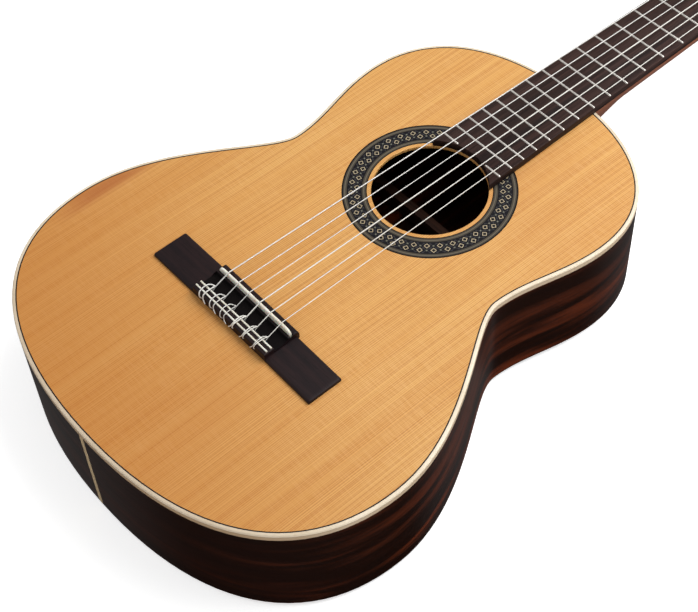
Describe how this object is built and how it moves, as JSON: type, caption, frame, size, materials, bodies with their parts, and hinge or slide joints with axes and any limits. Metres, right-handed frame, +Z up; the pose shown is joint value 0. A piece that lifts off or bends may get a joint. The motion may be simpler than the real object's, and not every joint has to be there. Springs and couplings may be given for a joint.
{
  "type": "classical guitar",
  "caption": "Full-size nylon-string guitar lying on its back: cedar top, dark back and sides, slotted head with geared tuners.",
  "frame": {"origin": "middle of the guitar's box in X and Y, at the flat middle of the back that it lies on", "axes": "+Y along the neck towards the head, +X towards the treble side, +Z up through the soundboard"},
  "size_m": [0.373, 0.9976, 0.1171],
  "materials": {
    "cedar_top": "gloss",
    "rosewood": "gloss",
    "mahogany": "satin",
    "dark_board": "satin",
    "spruce_brace": "bare",
    "maple_trim": "gloss",
    "mosaic": "gloss",
    "bone": "satin",
    "nickel": "polished",
    "gold_plate": "polished",
    "pearl": "gloss",
    "nylon": "gloss",
    "wound": "wound"
  },
  "bodies": {
    "root": {"soundboard": "cedar_top", "rosette": "mosaic", "back": "rosewood", "side_bass": "rosewood", "side_treble": "rosewood", "top_binding": "maple_trim", "end_graft": "maple_trim", "tail_block": "mahogany", "neck_block": "mahogany", "top_bracing": "spruce_brace", "back_bracing": "mahogany", "neck": "mahogany", "fingerboard": "dark_board", "fret_1": "nickel", "fret_2": "nickel", "fret_3": "nickel", "fret_4": "nickel", "fret_5": "nickel", "fret_6": "nickel", "fret_7": "nickel", "fret_8": "nickel", "fret_9": "nickel", "fret_10": "nickel", "fret_11": "nickel", "fret_12": "nickel", "fret_13": "nickel", "fret_14": "nickel", "fret_15": "nickel", "fret_16": "nickel", "fret_17": "nickel", "fret_18": "nickel", "fret_19_bass": "nickel", "fret_19_treble": "nickel", "nut": "bone", "bridge": "rosewood", "saddle": "bone", "tie_strip_front": "bone", "tie_strip_back": "bone", "headstock": "mahogany", "head_plate": "rosewood", "tuner_plate_bass": "gold_plate", "tuner_plate_treble": "gold_plate", "string_1": "nylon", "string_2": "nylon", "string_3": "nylon", "string_4": "wound", "string_5": "wound", "string_6": "wound"},
    "tuner_knob_1": {"knob_1": "pearl"},
    "string_roller_1": {"roller_1": "bone"},
    "tuner_knob_2": {"knob_2": "pearl"},
    "string_roller_2": {"roller_2": "bone"},
    "tuner_knob_3": {"knob_3": "pearl"},
    "string_roller_3": {"roller_3": "bone"},
    "tuner_knob_4": {"knob_4": "pearl"},
    "string_roller_4": {"roller_4": "bone"},
    "tuner_knob_5": {"knob_5": "pearl"},
    "string_roller_5": {"roller_5": "bone"},
    "tuner_knob_6": {"knob_6": "pearl"},
    "string_roller_6": {"roller_6": "bone"}
  },
  "joints": [
    {"name": "knob_1_turn", "type": "hinge", "parent": "root", "child": "tuner_knob_1", "pos_m": [0.0409, 0.36185, 0.07918], "axis": [0, 0.2588, 0.9659], "continuous": true},
    {"name": "roller_1_turn", "type": "hinge", "parent": "root", "child": "string_roller_1", "pos_m": [0.017, 0.37025, 0.07538], "axis": [1, 0, 0], "continuous": true},
    {"name": "knob_2_turn", "type": "hinge", "parent": "root", "child": "tuner_knob_2", "pos_m": [0.0409, 0.39566, 0.07013], "axis": [0, 0.2588, 0.9659], "continuous": true},
    {"name": "roller_2_turn", "type": "hinge", "parent": "root", "child": "string_roller_2", "pos_m": [0.017, 0.40406, 0.06632], "axis": [1, 0, 0], "continuous": true},
    {"name": "knob_3_turn", "type": "hinge", "parent": "root", "child": "tuner_knob_3", "pos_m": [0.0409, 0.42946, 0.06107], "axis": [0, 0.2588, 0.9659], "continuous": true},
    {"name": "roller_3_turn", "type": "hinge", "parent": "root", "child": "string_roller_3", "pos_m": [0.017, 0.43787, 0.05726], "axis": [1, 0, 0], "continuous": true},
    {"name": "knob_4_turn", "type": "hinge", "parent": "root", "child": "tuner_knob_4", "pos_m": [-0.0409, 0.42946, 0.06107], "axis": [0, 0.2588, 0.9659], "continuous": true},
    {"name": "roller_4_turn", "type": "hinge", "parent": "root", "child": "string_roller_4", "pos_m": [-0.017, 0.43787, 0.05726], "axis": [1, 0, 0], "continuous": true},
    {"name": "knob_5_turn", "type": "hinge", "parent": "root", "child": "tuner_knob_5", "pos_m": [-0.0409, 0.39566, 0.07013], "axis": [0, 0.2588, 0.9659], "continuous": true},
    {"name": "roller_5_turn", "type": "hinge", "parent": "root", "child": "string_roller_5", "pos_m": [-0.017, 0.40406, 0.06632], "axis": [1, 0, 0], "continuous": true},
    {"name": "knob_6_turn", "type": "hinge", "parent": "root", "child": "tuner_knob_6", "pos_m": [-0.0409, 0.36185, 0.07918], "axis": [0, 0.2588, 0.9659], "continuous": true},
    {"name": "roller_6_turn", "type": "hinge", "parent": "root", "child": "string_roller_6", "pos_m": [-0.017, 0.37025, 0.07538], "axis": [1, 0, 0], "continuous": true}
  ],
  "couplings": [
    {"joint": "roller_1_turn", "follows": "knob_1_turn", "ratio": 0.071429},
    {"joint": "roller_2_turn", "follows": "knob_2_turn", "ratio": 0.071429},
    {"joint": "roller_3_turn", "follows": "knob_3_turn", "ratio": 0.071429},
    {"joint": "roller_4_turn", "follows": "knob_4_turn", "ratio": 0.071429},
    {"joint": "roller_5_turn", "follows": "knob_5_turn", "ratio": 0.071429},
    {"joint": "roller_6_turn", "follows": "knob_6_turn", "ratio": 0.071429}
  ]
}
